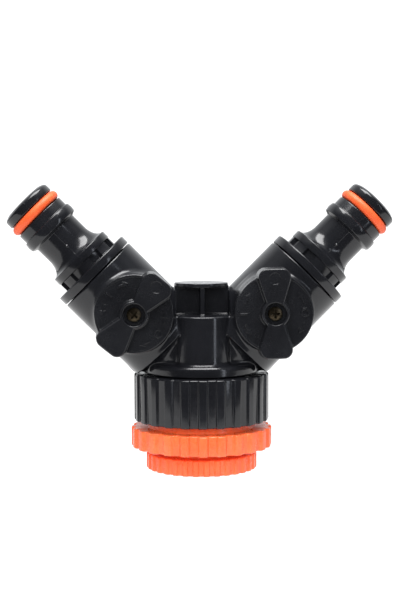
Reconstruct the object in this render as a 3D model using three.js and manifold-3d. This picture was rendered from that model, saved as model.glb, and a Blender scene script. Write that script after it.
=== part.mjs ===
// Two-way hose splitter with a turning tap nut, two thread reducers and two ball-valve outlets.
// Millimetres. +Z is up, the outlets spread along X, the two valve knobs face -Y.
// The origin is on the nut's axis, at the bottom face of the small reducer.
import * as THREE from "three";
import { mergeVertices } from "three/addons/utils/BufferGeometryUtils.js";
import Module from "manifold-3d";

// ---------------------------------------------------------------- driving dimensions
const GAP = 0.3; // running clearance between neighbouring pieces

// Small reducer: G 3/4 male outside, G 1/2 female inside.
const SMALL_RIM_R = 16.75;
const SMALL_RIM_H = 4.8;
const SMALL_TEETH = 32;
const SMALL_TOOTH_DEPTH = 0.6;
const SMALL_TOOTH_TURN = 2.1; // degrees
const SMALL_MALE_R = 13.15;
const SMALL_TOP_Z = 14.9;
const SMALL_FEMALE_R = 10.55;
const SMALL_SOCKET_TOP_Z = 9.5;
const SMALL_BORE_R = 7;

// Large reducer: G 1 male outside, G 3/4 female inside.
const LARGE_RIM_R = 21.25;
const LARGE_RIM_Z = 6.7;
const LARGE_RIM_H = 5.9;
const LARGE_TEETH = 24;
const LARGE_TOOTH_DEPTH = 1;
const LARGE_TOOTH_TURN = -1.8; // degrees
const LARGE_MALE_R = 16.5;
const LARGE_TOP_Z = 21.4;
const LARGE_FEMALE_R = 13.5;
const LARGE_SOCKET_TOP_Z = 17.4;
const LARGE_BORE_R = 9.5;

// Swivel nut: G 1 female, held under the manifold by a split ring.
const NUT_R = 20.35;
const NUT_Z = 14.7;
const NUT_TOP_Z = 28.9;
const NUT_RIBS = 24;
const NUT_RIB_DEPTH = 0.75;
const NUT_FEMALE_R = 16.9;
const NUT_ROOF_Z = 26.4;
const NECK_R = 13.2;
const NECK_Z = 23.9;
const CLIP_GROOVE_R = 11.8;
const CLIP_R = 16.2;
const CLIP_H = 1.2;
const CLIP_SPLIT = 2.4;

// Flat washers, outer and inner radius, thickness.
const NUT_WASHER = { outer: 15.8, inner: 10.2, thick: 1.9 };
const LARGE_WASHER = { outer: 12.9, inner: 8, thick: 1.9 };
const SMALL_WASHER = { outer: 10.2, inner: 6.5, thick: 1.8 };

// Manifold: flange, centre boss and two arms at 45 degrees.
const FLANGE_R = 17;
const FLANGE_Z = 29.2;
const FLANGE_TOP_Z = 32.3;
const FLANGE_ROUND = 1.2;
const BOSS_R = 8.1;
const PAD_HALF = 8.1;
const PAD_FRONT = 14.9;
const PAD_CROWN_R = 9.5;
const BOSS_SHOULDER_Z = 46.8;
const POCKET_HALF = 8.1;
const BOSS_TOP_Z = 56.2;
const BOSS_DISC_H = 1.2;
const RIB_THICK = 1.3;
const WEB_THICK = 6;
const CHAMBER_R = 6.2;
const CHAMBER_TOP_Z = 42.5;
const INLET_BORE_R = 9.5;
const ARM_ANGLE = Math.PI / 4;
const ARM_CROSS_Z = 27.7; // the two arm axes meet here
const ARM_R = 13.2;
const ARM_ROOT_R = 10;
const ARM_ROOT_S = 4; // stations along an arm, from the crossing
const ARM_SWELL_S = 13.6;
const ARM_FULL_S = 15.6;
const ARM_WEB_THICK = 3;
const ARM_END_S = 44;
const BALL_CAVITY_R = 10.8;
const INLET_SEAT_HOLE_R = 8.2;
const INLET_SEAT_S = 20.9;
const BALL_CAVITY_S = 25;
const PORT_R = 5.5;

// Ball valves.
const BALL_S = 28.8;
const BALL_R = 8;
const BALL_BORE_R = 4.5;
const INLET_SEAT_OUTER_R = 7.9;
const OUTLET_SEAT_OUTER_R = 10.5;
const SEAT_INNER_R = 5;
const SEAT_NEAR = 4.2; // how close to the ball centre a seat starts
const INLET_SEAT_FAR = 7.6;
const OUTLET_SEAT_FAR = 10.8;
const LEFT_LEVER_ANGLE = THREE.MathUtils.degToRad(51); // from +X towards +Z
const RIGHT_LEVER_ANGLE = THREE.MathUtils.degToRad(91.5);

// Bonnet, stem and knob, measured forwards from the ball centre.
const BONNET_R = 11.5;
const BONNET_FACE = 14;
const GLAND_R = 4.5;
const GLAND_END = 12.6;
const STEM_HOLE_R = 3.4;
const STEM_JOURNAL_R = 4.2;
const STEM_NECK_R = 3.1;
const STEM_TIP = 16.9;
const TANG_THICK = 2.6;
const TANG_START = 5.4;
const KNOB_R = 11.5;
const KNOB_BACK = 14.3;
const KNOB_FACE = 17.5;
const LEVER_BACK = 14.8;
const LEVER_FACE = 20.6;
const LEVER_HALF_LENGTH = 13.2;
const LEVER_END_HALF = 4.75;
const LEVER_NECK_HALF = 3.05;
const LEVER_HUB_HALF = 4.1;
const LEVER_CHAMFER = 0.6;
const KNOB_RECESS_R = 3.15;
const KNOB_RECESS_FLOOR = 18.3;
const SCREW_HEAD_R = 2.1;
const SCREW_R = 1.1;

// Outlet nipple: stations along the arm.
const CAP_R = 13.2;
const CAP_FACE_S = 47;
const NIPPLE_BORE_R = 4.4;
const COLLAR_R = 10.25;
const COLLAR_S = 49.6;
const COLLAR_END_S = 52;
const CASTLE_CORE_R = 9;
const CASTLE_COUNT = 8;
const CASTLE_BLOCK_W = 4.2;
const WAIST_R = 7.35;
const WAIST_S = 56.6;
const RIDGE_R = 8.95;
const RIDGE_S = 63.9;
const RIDGE_HALF = 1.5;
const TIP_NECK_R = 8.25;
const RING_S = 70;
const RING_R = 7.35;
const RING_TUBE_R = 1.4;
const RING_GROOVE_R = 5.75;
const RING_GROOVE_HALF = 1.6;
const TIP_R = 8.2;
const TIP_END_S = 75.2;
const TIP_FLAT_R = 6.6;
const TIP_MOUTH_R = 5;

// ---------------------------------------------------------------- materials
function plastic(name, colour, roughness) {
  return () => {
    const made = new THREE.MeshStandardMaterial({ color: colour, roughness, metalness: 0 });
    made.name = name;
    return made;
  };
}
const blackPlastic = plastic("black_plastic", 0x17181a, 0.35);
const orangePlastic = plastic("orange_plastic", 0xf0452c, 0.4);
const ringRubber = plastic("orange_rubber", 0xf2542a, 0.6);
const washerRubber = plastic("black_rubber", 0x202020, 0.8);
const seatPlastic = plastic("white_seat_plastic", 0xe8e6df, 0.5);
const ballPlastic = plastic("grey_ball_plastic", 0x6c7074, 0.3);
const screwSteel = () => {
  const made = new THREE.MeshStandardMaterial({ color: 0x8d8572, roughness: 0.35, metalness: 1 });
  made.name = "plated_steel";
  return made;
};

// ---------------------------------------------------------------- solids
const wasm = await Module();
wasm.setup();

// A closed three.js geometry as a manifold-3d solid, turned inside out when its faces point inwards.
function solid(geometry) {
  const bare = new THREE.BufferGeometry();
  const flat = geometry.index ? geometry.toNonIndexed() : geometry;
  bare.setAttribute("position", flat.getAttribute("position"));
  const merged = mergeVertices(bare, 1e-4);
  const triVerts = new Uint32Array(merged.index.array);
  const vertProperties = merged.attributes.position.array;
  const made = new wasm.Manifold(new wasm.Mesh({ numProp: 3, vertProperties, triVerts }));
  if (made.volume() > 0) return made;
  for (let i = 0; i < triVerts.length; i += 3) {
    [triVerts[i + 1], triVerts[i + 2]] = [triVerts[i + 2], triVerts[i + 1]];
  }
  return new wasm.Manifold(new wasm.Mesh({ numProp: 3, vertProperties, triVerts }));
}

// A profile of [radius, height] pairs turned round Z. Both ends lie on the axis, or the loop closes.
function turned(profile, segments = 40) {
  const points = profile.map(([r, h]) => new THREE.Vector2(r, h));
  const onAxis = points[0].x === 0 && points[points.length - 1].x === 0;
  if (!onAxis) points.push(points[0].clone());
  return solid(new THREE.LatheGeometry(points, segments).rotateX(Math.PI / 2));
}

function rod(radius, from, to, segments = 40) {
  return turned([[0, from], [radius, from], [radius, to], [0, to]], segments);
}

function tube(outer, inner, from, to, segments = 40) {
  return turned([[inner, from], [outer, from], [outer, to], [inner, to]], segments);
}

function block(width, depth, height, x, y, z) {
  return solid(new THREE.BoxGeometry(width, depth, height).translate(x, y, z));
}

// A flat outline in XY raised from one height to another.
function raised(outline, from, to) {
  const shape = new THREE.Shape(outline.map(([x, y]) => new THREE.Vector2(x, y)));
  const made = new THREE.ExtrudeGeometry(shape, { depth: to - from, bevelEnabled: false });
  return solid(made.translate(0, 0, from));
}

// The outline of a ribbed rim: each rib takes the share `land` of its pitch.
function ribbedOutline(radius, depth, count, land) {
  const outline = [];
  const pitch = (2 * Math.PI) / count;
  const slope = pitch * 0.06;
  for (let i = 0; i < count; i++) {
    const middle = i * pitch;
    const half = (pitch * land) / 2;
    const corners = [
      [radius - depth, middle - half - slope],
      [radius, middle - half + slope],
      [radius, middle + half - slope],
      [radius - depth, middle + half + slope],
    ];
    for (const [r, a] of corners) outline.push([r * Math.cos(a), r * Math.sin(a)]);
  }
  return outline;
}

// Moves a solid by a three.js matrix.
function placed(made, matrix) {
  return made.transform(matrix.elements.slice());
}

// Local +Z runs out along an arm, from the crossing of the two axes.
function armMatrix(side) {
  const turn = new THREE.Matrix4().makeRotationY(side * ARM_ANGLE);
  return new THREE.Matrix4().makeTranslation(0, 0, ARM_CROSS_Z).multiply(turn);
}

// Local +Z runs forwards (-Y) from a ball's centre, local +X along the knob's lever.
function valveMatrix(side, leverAngle) {
  const reach = BALL_S * Math.SQRT1_2;
  const centre = new THREE.Matrix4().makeTranslation(side * reach, 0, ARM_CROSS_Z + reach);
  const forwards = new THREE.Matrix4().makeRotationX(Math.PI / 2);
  const turn = new THREE.Matrix4().makeRotationZ(leverAngle);
  return centre.multiply(forwards).multiply(turn);
}

// ---------------------------------------------------------------- tap side
function smallAdapter() {
  const rim = ribbedOutline(SMALL_RIM_R, SMALL_TOOTH_DEPTH, SMALL_TEETH, 0.5);
  return raised(rim, 0, SMALL_RIM_H).rotate([0, 0, SMALL_TOOTH_TURN])
    .add(rod(SMALL_MALE_R, SMALL_RIM_H - 1, SMALL_TOP_Z, 48))
    .subtract(rod(SMALL_FEMALE_R, -1, SMALL_SOCKET_TOP_Z, 48))
    .subtract(rod(SMALL_BORE_R, 0, SMALL_TOP_Z + 1));
}

function largeAdapter() {
  const rim = ribbedOutline(LARGE_RIM_R, LARGE_TOOTH_DEPTH, LARGE_TEETH, 0.5);
  return raised(rim, LARGE_RIM_Z, LARGE_RIM_Z + LARGE_RIM_H).rotate([0, 0, LARGE_TOOTH_TURN])
    .add(rod(LARGE_MALE_R, LARGE_RIM_Z + 1, LARGE_TOP_Z, 56))
    .subtract(rod(LARGE_FEMALE_R, 0, LARGE_SOCKET_TOP_Z, 56))
    .subtract(rod(LARGE_BORE_R, 0, LARGE_TOP_Z + 1));
}

function swivelNut() {
  const ribs = ribbedOutline(NUT_R, NUT_RIB_DEPTH, NUT_RIBS, 0.5);
  return raised(ribs, NUT_Z, NUT_TOP_Z).rotate([0, 0, LARGE_TOOTH_TURN])
    .subtract(rod(NUT_FEMALE_R, 0, NUT_ROOF_Z, 56))
    .subtract(rod(NECK_R + 0.4, 0, NUT_TOP_Z + 1, 48));
}

function washer(size, topZ) {
  return tube(size.outer, size.inner, topZ - size.thick, topZ);
}

// The split ring sits in the neck's groove and carries the nut's roof.
function retainingRing() {
  const topZ = NUT_ROOF_Z - GAP;
  return tube(CLIP_R, CLIP_GROOVE_R + GAP, topZ - CLIP_H, topZ, 44)
    .subtract(block(CLIP_SPLIT, CLIP_R, 4, 0, CLIP_R - 2, topZ));
}

// ---------------------------------------------------------------- manifold
// The centre block in plan: flat sides and a crowned front and back.
function padOutline() {
  const centre = PAD_FRONT - PAD_CROWN_R;
  const reach = Math.asin(PAD_HALF / PAD_CROWN_R);
  const outline = [];
  for (const way of [1, -1]) {
    for (let i = -6; i <= 6; i++) {
      const a = (reach * i) / 6;
      outline.push([-way * PAD_CROWN_R * Math.sin(a), way * (centre + PAD_CROWN_R * Math.cos(a))]);
    }
  }
  return outline;
}

function manifoldBody() {
  const arms = [-1, 1].map((side) => {
    const housing = turned([
      [0, ARM_ROOT_S], [ARM_ROOT_R, ARM_ROOT_S], [ARM_ROOT_R, ARM_SWELL_S], [ARM_R, ARM_FULL_S],
      [ARM_R, ARM_END_S - 0.4], [ARM_R - 0.4, ARM_END_S], [0, ARM_END_S],
    ], 56);
    const web = block(2 * ARM_R - 0.4, ARM_WEB_THICK, ARM_FULL_S, 0, 0, ARM_FULL_S / 2 + 2);
    const bonnet = rod(BONNET_R, 6, BONNET_FACE, 48);
    return placed(housing.add(web), armMatrix(side)).add(placed(bonnet, valveMatrix(side, 0)));
  });
  const flange = turned([
    [0, FLANGE_Z], [FLANGE_R, FLANGE_Z], [FLANGE_R, FLANGE_TOP_Z - FLANGE_ROUND],
    [FLANGE_R - 0.35, FLANGE_TOP_Z - 0.35], [FLANGE_R - FLANGE_ROUND, FLANGE_TOP_Z], [0, FLANGE_TOP_Z],
  ], 56);
  const neck = turned([
    [0, NECK_Z], [NECK_R, NECK_Z], [NECK_R, NUT_ROOF_Z - 2 * GAP - CLIP_H],
    [CLIP_GROOVE_R, NUT_ROOF_Z - 2 * GAP - CLIP_H], [CLIP_GROOVE_R, NUT_ROOF_Z],
    [NECK_R, NUT_ROOF_Z], [NECK_R, FLANGE_Z + 1], [0, FLANGE_Z + 1],
  ], 48);
  const pad = raised(padOutline(), FLANGE_Z + 0.5, BOSS_SHOULDER_Z);
  const disc = rod(BOSS_R, BOSS_TOP_Z - BOSS_DISC_H, BOSS_TOP_Z);
  const ribHeight = BOSS_TOP_Z - BOSS_SHOULDER_Z + 2;
  const ribZ = BOSS_TOP_Z - 0.5 - ribHeight / 2;
  const rib = block(RIB_THICK, 2 * BOSS_R - 1.2, ribHeight, 0, 0, ribZ);
  const web = block(2 * POCKET_HALF, WEB_THICK, ribHeight, 0, 0, ribZ);

  let body = arms[0].add(arms[1])
    .subtract(block(120, 60, 40, 0, 0, FLANGE_Z - 20))
    .subtract(block(2 * POCKET_HALF, 60, 40, 0, 0, BOSS_SHOULDER_Z + 20));
  body = body.add(flange).add(neck).add(pad).add(rib).add(web).add(disc);
  body = body
    .subtract(rod(INLET_BORE_R, NECK_Z - 1, FLANGE_Z + 1.8))
    .subtract(rod(CHAMBER_R, FLANGE_Z, CHAMBER_TOP_Z));
  for (const side of [-1, 1]) {
    const port = rod(PORT_R, ARM_ROOT_S, INLET_SEAT_S + 1);
    const cavity = rod(BALL_CAVITY_R, BALL_CAVITY_S, ARM_END_S + 1, 48)
      .add(rod(INLET_SEAT_HOLE_R, INLET_SEAT_S, BALL_CAVITY_S + 1, 48));
    const gland = rod(GLAND_R, 8, GLAND_END);
    const hole = rod(STEM_HOLE_R, 8, BONNET_FACE + 1);
    body = body
      .subtract(placed(port.add(cavity), armMatrix(side)))
      .subtract(placed(gland.add(hole), valveMatrix(side, 0)));
  }
  return body;
}

// ---------------------------------------------------------------- valves
// A ring whose inner face follows the ball. `way` is 1 on the outlet side and -1 on the inlet side.
function seat(side, way) {
  const faceR = BALL_R + GAP;
  const outerR = way < 0 ? INLET_SEAT_OUTER_R : OUTLET_SEAT_OUTER_R;
  const far = way < 0 ? INLET_SEAT_FAR : OUTLET_SEAT_FAR;
  const profile = [[outerR, SEAT_NEAR], [outerR, far], [SEAT_INNER_R, far]];
  const steps = 3;
  for (let i = 0; i <= steps; i++) {
    const r = SEAT_INNER_R + ((Math.sqrt(faceR ** 2 - SEAT_NEAR ** 2) - SEAT_INNER_R) * i) / steps;
    profile.push([r, Math.sqrt(faceR ** 2 - r ** 2)]);
  }
  const ring = turned(profile.map(([r, s]) => [r, BALL_S + way * s]), 32);
  return placed(ring, armMatrix(side));
}

// The water way runs along the lever, and the drive slot lies across it.
function ball(side, angle) {
  const sphere = solid(new THREE.SphereGeometry(BALL_R, 26, 14));
  const way = placed(rod(BALL_BORE_R, -12, 12), new THREE.Matrix4().makeRotationY(Math.PI / 2));
  const slot = block(TANG_THICK + 2 * GAP, 20, 4, 0, 0, TANG_START - GAP + 2);
  return placed(sphere.subtract(way).subtract(slot), valveMatrix(side, angle));
}

function stem(side, angle) {
  const grooveR = 3;
  const shaft = turned([
    [0, BALL_R + 0.2], [STEM_JOURNAL_R, BALL_R + 0.2], [STEM_JOURNAL_R, 10.3],
    [grooveR, 10.3], [grooveR, 11.9], [STEM_JOURNAL_R, 11.9], [STEM_JOURNAL_R, 12.3],
    [STEM_NECK_R, 12.3], [STEM_NECK_R, STEM_TIP], [0, STEM_TIP],
  ], 32);
  const tang = block(TANG_THICK, 7, BALL_R + 0.5 - TANG_START, 0, 0, (BALL_R + 0.5 + TANG_START) / 2);
  const flats = [-1, 1].map((way) => block(3, 10, 4, way * 3.7, 0, KNOB_BACK + 2));
  const made = shaft.add(tang).subtract(flats[0]).subtract(flats[1])
    .subtract(rod(SCREW_R + GAP, 12.6, STEM_TIP + 1, 20));
  return placed(made, valveMatrix(side, angle));
}

function stemRing(side, angle) {
  const made = solid(new THREE.TorusGeometry(3.78, 0.62, 8, 20)).translate([0, 0, 11.1]);
  return placed(made, valveMatrix(side, angle));
}

// Half outline of the bow-tie lever for x > 0, mirrored to make the whole.
function leverOutline(inset) {
  const half = LEVER_HALF_LENGTH - inset;
  const corner = 2.2;
  const end = LEVER_END_HALF - inset;
  const upper = [
    [0, LEVER_HUB_HALF - inset],
    [2.3, LEVER_HUB_HALF - inset - 0.4],
    [4.4, LEVER_NECK_HALF - inset],
    [half - corner - 0.6, end],
  ];
  for (let i = 1; i <= 4; i++) {
    const a = (Math.PI / 2) * (1 - i / 4);
    upper.push([half - 0.35 - corner + corner * Math.cos(a), end - corner + corner * Math.sin(a)]);
  }
  upper.push([half, 0]);
  const lower = upper.slice(1, -1).reverse().map(([x, y]) => [x, -y]);
  const right = [...upper, ...lower];
  const left = right.map(([x, y]) => [-x, -y]);
  return [...right, ...left];
}

function knob(side, angle) {
  const disc = turned([
    [0, KNOB_BACK], [KNOB_R - 0.4, KNOB_BACK], [KNOB_R, KNOB_BACK + 0.4],
    [KNOB_R, KNOB_FACE - 0.5], [KNOB_R - 0.5, KNOB_FACE], [0, KNOB_FACE],
  ], 48);
  const lever = raised(leverOutline(0), LEVER_BACK, LEVER_FACE - LEVER_CHAMFER)
    .add(raised(leverOutline(LEVER_CHAMFER), LEVER_FACE - 2, LEVER_FACE));
  const socket = rod(STEM_NECK_R + GAP, KNOB_BACK - 1, STEM_TIP + GAP, 32)
    .intersect(block(2 * (2.2 + GAP), 10, 10, 0, 0, KNOB_BACK + 1));
  const made = disc.add(lever)
    .subtract(socket)
    .subtract(rod(SCREW_R + GAP, KNOB_BACK, KNOB_RECESS_FLOOR + 1, 20))
    .subtract(rod(KNOB_RECESS_R, KNOB_RECESS_FLOOR, LEVER_FACE + 1, 32));
  return placed(made, valveMatrix(side, angle));
}

function knobScrew(side, angle) {
  const seatV = KNOB_RECESS_FLOOR + GAP;
  const topV = seatV + 1.5;
  const head = turned([
    [0, 13], [SCREW_R, 13], [SCREW_R, seatV], [SCREW_HEAD_R, seatV],
    [SCREW_HEAD_R, topV - 0.5], [SCREW_HEAD_R - 0.6, topV], [0, topV],
  ], 28);
  const cross = block(2.4, 0.55, 1.6, 0, 0, topV).add(block(0.55, 2.4, 1.6, 0, 0, topV));
  return placed(head.subtract(cross), valveMatrix(side, angle));
}

// ---------------------------------------------------------------- outlets
function nipple(side) {
  const outline = [
    [NIPPLE_BORE_R, BALL_S + OUTLET_SEAT_FAR + GAP], [OUTLET_SEAT_OUTER_R, BALL_S + OUTLET_SEAT_FAR + GAP],
    [OUTLET_SEAT_OUTER_R, ARM_END_S + GAP], [CAP_R - 0.3, ARM_END_S + GAP],
    [CAP_R, ARM_END_S + GAP + 0.3], [CAP_R, CAP_FACE_S - 0.5],
    [CAP_R - 0.5, CAP_FACE_S], [CASTLE_CORE_R, CAP_FACE_S], [CASTLE_CORE_R, COLLAR_S],
    [COLLAR_R, COLLAR_S], [COLLAR_R, COLLAR_END_S],
  ];
  // The shoulder sweeps in to the waist as a quarter ellipse.
  for (let i = 1; i <= 6; i++) {
    const a = (Math.PI / 2) * (i / 6);
    outline.push([
      WAIST_R + (COLLAR_R - WAIST_R) * (1 - Math.sin(a)),
      COLLAR_END_S + (WAIST_S - COLLAR_END_S) * (1 - Math.cos(a)),
    ]);
  }
  outline.push(
    [WAIST_R, RIDGE_S - RIDGE_HALF - 0.6], [RIDGE_R - 0.4, RIDGE_S - RIDGE_HALF],
    [RIDGE_R, RIDGE_S - 0.5], [RIDGE_R, RIDGE_S + 0.5], [RIDGE_R - 0.4, RIDGE_S + RIDGE_HALF - 0.3],
    [TIP_NECK_R, RIDGE_S + RIDGE_HALF], [TIP_NECK_R, RING_S - RING_GROOVE_HALF],
    [RING_GROOVE_R, RING_S - RING_GROOVE_HALF], [RING_GROOVE_R, RING_S + RING_GROOVE_HALF],
    [TIP_R, RING_S + RING_GROOVE_HALF], [TIP_R, TIP_END_S - 1.6], [TIP_R - 0.5, TIP_END_S - 0.5],
    [TIP_FLAT_R, TIP_END_S], [TIP_MOUTH_R, TIP_END_S], [NIPPLE_BORE_R, TIP_END_S - 1],
  );
  let made = turned(outline, 36);
  for (let i = 0; i < CASTLE_COUNT; i++) {
    const height = COLLAR_S - CAP_FACE_S + 1;
    const tooth = block(2.4, CASTLE_BLOCK_W, height, CASTLE_CORE_R - 0.4, 0, (COLLAR_S + CAP_FACE_S) / 2);
    made = made.add(tooth.rotate([0, 0, (i * 360) / CASTLE_COUNT]));
  }
  return placed(made, armMatrix(side));
}

function nippleRing(side) {
  const made = solid(new THREE.TorusGeometry(RING_R, RING_TUBE_R, 10, 32)).translate([0, 0, RING_S]);
  return placed(made, armMatrix(side));
}

// ---------------------------------------------------------------- assembly
const splitter = new THREE.Group();
splitter.name = "hose_splitter";

function put(name, made, material) {
  const { numProp, vertProperties, triVerts } = made.getMesh();
  const positions = new Float32Array((vertProperties.length / numProp) * 3);
  for (let i = 0; i < positions.length / 3; i++) {
    positions.set(vertProperties.subarray(i * numProp, i * numProp + 3), i * 3);
  }
  const geometry = new THREE.BufferGeometry();
  geometry.setAttribute("position", new THREE.BufferAttribute(positions, 3));
  geometry.setIndex(new THREE.BufferAttribute(triVerts, 1));
  geometry.computeVertexNormals();
  const mesh = new THREE.Mesh(geometry, material());
  mesh.name = name;
  splitter.add(mesh);
}

put("manifold_body", manifoldBody(), blackPlastic);
put("nut_retaining_ring", retainingRing(), blackPlastic);
put("swivel_nut", swivelNut(), blackPlastic);
put("nut_washer", washer(NUT_WASHER, NECK_Z - GAP), washerRubber);
put("large_adapter", largeAdapter(), orangePlastic);
put("large_adapter_washer", washer(LARGE_WASHER, LARGE_SOCKET_TOP_Z - GAP), washerRubber);
put("small_adapter", smallAdapter(), orangePlastic);
put("small_adapter_washer", washer(SMALL_WASHER, SMALL_SOCKET_TOP_Z - GAP), washerRubber);

for (const [label, side, angle] of [["left", -1, LEFT_LEVER_ANGLE], ["right", 1, RIGHT_LEVER_ANGLE]]) {
  put(label + "_outlet_nipple", nipple(side), blackPlastic);
  put(label + "_nipple_oring", nippleRing(side), ringRubber);
  put(label + "_inlet_seat", seat(side, -1), seatPlastic);
  put(label + "_outlet_seat", seat(side, 1), seatPlastic);
  put(label + "_ball", ball(side, angle), ballPlastic);
  put(label + "_stem", stem(side, angle), blackPlastic);
  put(label + "_stem_oring", stemRing(side, angle), washerRubber);
  put(label + "_knob", knob(side, angle), blackPlastic);
  put(label + "_knob_screw", knobScrew(side, angle), screwSteel);
}

export default splitter;
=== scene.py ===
"""Looks of the two-way hose splitter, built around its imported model.

Shapes are worked out in millimetres and scaled to metres as each mesh is made.
+Z is up along the swivel nut's axis, the outlets spread along X and the knobs face -Y.
"""

import math

import bpy
import numpy as np
from mathutils import Matrix, Vector

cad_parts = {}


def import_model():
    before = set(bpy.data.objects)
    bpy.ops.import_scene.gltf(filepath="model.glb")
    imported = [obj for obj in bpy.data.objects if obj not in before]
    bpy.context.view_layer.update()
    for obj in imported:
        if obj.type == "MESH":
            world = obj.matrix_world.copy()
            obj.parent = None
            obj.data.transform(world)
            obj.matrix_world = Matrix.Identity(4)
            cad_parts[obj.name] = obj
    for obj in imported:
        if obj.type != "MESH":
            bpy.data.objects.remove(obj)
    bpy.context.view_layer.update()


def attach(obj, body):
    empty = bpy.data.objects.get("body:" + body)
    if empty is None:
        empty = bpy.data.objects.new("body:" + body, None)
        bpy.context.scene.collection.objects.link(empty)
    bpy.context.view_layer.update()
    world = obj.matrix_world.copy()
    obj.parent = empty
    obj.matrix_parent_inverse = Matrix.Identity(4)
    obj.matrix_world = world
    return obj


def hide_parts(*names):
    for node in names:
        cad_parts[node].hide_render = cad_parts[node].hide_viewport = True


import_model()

MM = 0.001
# each side's name, its way along X, and its lever's turn from +X
SIDES = (("left", -1, math.radians(51)), ("right", 1, math.radians(91.5)))

# ---------------------------------------------------------------- dimensions, in mm
RIB_COUNT = 24
RIB_PHASE = math.radians(-90 - 1.8)
SMALL_RIB_COUNT = 32
SMALL_RIB_PHASE = math.radians(-90 + 2.1)

G1_PITCH = 2.309
G34_PITCH = 1.814
G1_DEPTH = 1.1
NUT_R = 20.35
NUT_BORE_R = 16.9
NUT_Z = 14.7
NUT_TOP_Z = 28.9
NUT_RIB_DEPTH = 0.75
RIB_LAND = 0.5  # share of a rib's pitch

FLANGE_R = 17
FLANGE_Z = 29.2
FLANGE_TOP_Z = 32.3
FLANGE_ROUND = 1.2
NECK_R = 13.2
NECK_Z = 23.9
NUT_ROOF_Z = 26.4
BOSS_R = 8.1
PAD_HALF = 8.1
PAD_FRONT = 14.9
PAD_CROWN_R = 9.5
SHOULDER_Z = 46.8
BOSS_TOP_Z = 56.2
ARM_CROSS_Z = 27.7
ARM_R = 13.2
ARM_ROOT_R = 10
ARM_END_S = 44  # stations along an arm, from the crossing
INLET_BORE_R = 9.5
CHAMBER_R = 6.2
CHAMBER_TOP_Z = 42.5
PORT_R = 5.5
BALL_S = 28.8
BALL_R = 8
BALL_BORE_R = 4.5
SEAT_NEAR = 4.2  # the seats' ends, from the ball's centre
INLET_SEAT_FAR = 7.6
OUTLET_SEAT_FAR = 10.8
SEAT_INNER_R = 5
INLET_SEAT_R = 7.9
OUTLET_SEAT_R = 10.5
SEAT_GAP = 0.3

NIPPLE_BORE_R = 4.4
NIPPLE_WAIST_R = 7.35
COLLAR_CORE_R = 9.0
COLLAR_R = 10.25
COLLAR_BLOCKS = 8
BLOCK_HALF_SHARE = 0.278
SEAL_RING_S = 70
SEAL_RING_SECTION_R = 1.4
GATE_MARK_S = 56.4

# a knob's heights are measured forwards from its ball's centre
BONNET_R = 11.5
BONNET_FACE = 14
KNOB_R = 11.5
KNOB_BACK = 14.3
KNOB_FACE = 17.5
LEVER_BACK = 14.8
LEVER_FACE = 20.6
LEVER_END = 13.2
RECESS_R = 3.15
RECESS_FLOOR = 18.3
STEM_SEAL_V = 11.1
MARK_RADIUS = 9.0

FLOOR_Z = -0.0156  # metres, clear of the reducers when they are unscrewed

# ================================================================ materials


class Nodes:
    """A material's node tree, with short calls to add and join nodes."""

    def __init__(self, name):
        self.material = bpy.data.materials.new(name)
        self.material.use_nodes = True
        self.tree = self.material.node_tree
        self.shader = self.tree.nodes["Principled BSDF"]
        self.place = self.add("ShaderNodeTexCoord").outputs["Object"]

    def add(self, kind, **settings):
        node = self.tree.nodes.new(kind)
        for key, value in settings.items():
            setattr(node, key, value)
        return node

    def link(self, a, b):
        self.tree.links.new(a, b)

    def noise(self, scale, detail=2.0, rough=0.5, stretch=None):
        node = self.add("ShaderNodeTexNoise")
        node.inputs["Scale"].default_value = scale
        node.inputs["Detail"].default_value = detail
        node.inputs["Roughness"].default_value = rough
        source = self.place
        if stretch:
            mapping = self.add("ShaderNodeMapping")
            mapping.inputs["Rotation"].default_value = stretch[0]
            mapping.inputs["Scale"].default_value = stretch[1]
            self.link(source, mapping.inputs["Vector"])
            source = mapping.outputs["Vector"]
        self.link(source, node.inputs["Vector"])
        return node.outputs["Fac"]

    def ramp(self, fac, stops):
        node = self.add("ShaderNodeValToRGB")
        ramp = node.color_ramp
        while len(ramp.elements) < len(stops):
            ramp.elements.new(0.5)
        for element, (at, colour) in zip(ramp.elements, stops):
            element.position = at
            element.color = (*colour, 1)
        self.link(fac, node.inputs["Fac"])
        return node.outputs["Color"]

    def spread(self, fac, low, high, to_low, to_high):
        node = self.add("ShaderNodeMapRange")
        for socket, value in zip(("From Min", "From Max", "To Min", "To Max"), (low, high, to_low, to_high)):
            node.inputs[socket].default_value = value
        self.link(fac, node.inputs["Value"])
        return node.outputs["Result"]

    def bump(self, height, strength, distance, below=None):
        node = self.add("ShaderNodeBump")
        node.inputs["Strength"].default_value = strength
        node.inputs["Distance"].default_value = distance
        self.link(height, node.inputs["Height"])
        if below is not None:
            self.link(below, node.inputs["Normal"])
        return node.outputs["Normal"]

    def set(self, **values):
        for key, value in values.items():
            self.shader.inputs[key.replace("_", " ")].default_value = value


def moulded_plastic(name, dark, light, rough, grain=1.0, gloss=0.5):
    """Injection-moulded plastic: faint flow clouding, fine grain, light scuffs."""
    n = Nodes(name)
    clouds = n.noise(90, 3, 0.55)
    n.link(n.ramp(clouds, [(0.35, dark), (0.7, light)]), n.shader.inputs["Base Color"])
    scuffs = n.noise(420, 4, 0.65, ((0.5, 0.9, 0.3), (1, 0.16, 1)))
    n.link(n.spread(scuffs, 0.35, 0.72, rough[0], rough[1]), n.shader.inputs["Roughness"])
    waves = n.bump(n.noise(230, 1.5, 0.4), 0.10 * grain, 0.00012)
    fine = n.bump(n.noise(3200, 2, 0.6), 0.10 * grain, 0.00002, waves)
    n.link(fine, n.shader.inputs["Normal"])
    n.set(IOR=1.5, Specular_IOR_Level=gloss)
    return n


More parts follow.
